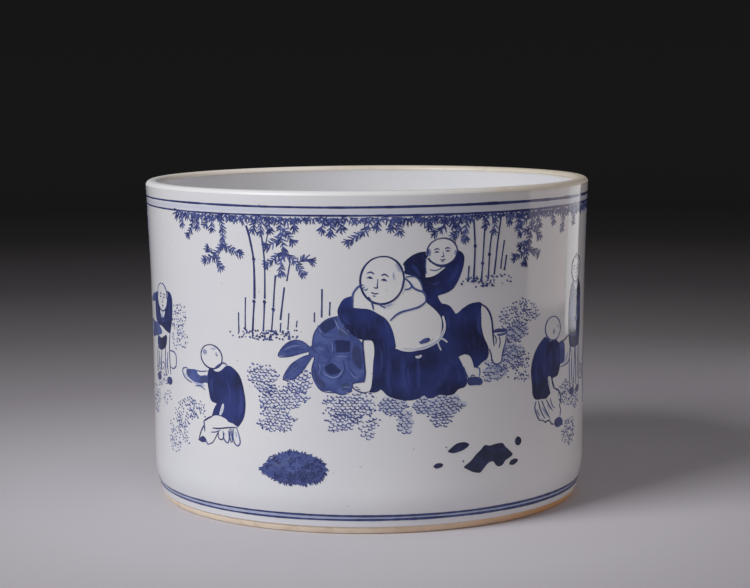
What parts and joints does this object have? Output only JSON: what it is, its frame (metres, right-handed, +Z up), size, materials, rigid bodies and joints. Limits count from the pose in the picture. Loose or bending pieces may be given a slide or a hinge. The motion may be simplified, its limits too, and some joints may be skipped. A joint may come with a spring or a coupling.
{
  "type": "brush pot",
  "caption": "Open cylindrical porcelain pot for calligraphy brushes, wider than tall, with a slightly flared lip, a rounded-in bare foot and blue painting under a clear glaze.",
  "frame": {"origin": "centre of the foot, on the surface that the pot stands on", "axes": "+Z up along the axis of the pot; -Y towards the middle of the painted scene's main figure, +X to the viewer's right of it"},
  "size_m": [0.19, 0.19, 0.1359],
  "materials": {
    "biscuit_clay": "unglazed porcelain, buff to orange-brown",
    "luting_slip": "unglazed slip, matt",
    "clear_glaze": "bluish-white glaze, glossy",
    "lip_dressing": "buff lip dressing, semi-matt",
    "cobalt_glass": "cobalt blue under the glaze, glossy"
  },
  "bodies": {
    "root": {"wall_body": "biscuit_clay", "base_slab": "biscuit_clay", "lute_seam": "luting_slip", "outer_glaze": "clear_glaze", "inner_glaze": "clear_glaze", "under_glaze": "clear_glaze", "lip_dressing": "lip_dressing", "rim_line_upper": "cobalt_glass", "rim_line_lower": "cobalt_glass", "foot_line_upper": "cobalt_glass", "foot_line_lower": "cobalt_glass"}
  },
  "joints": []
}
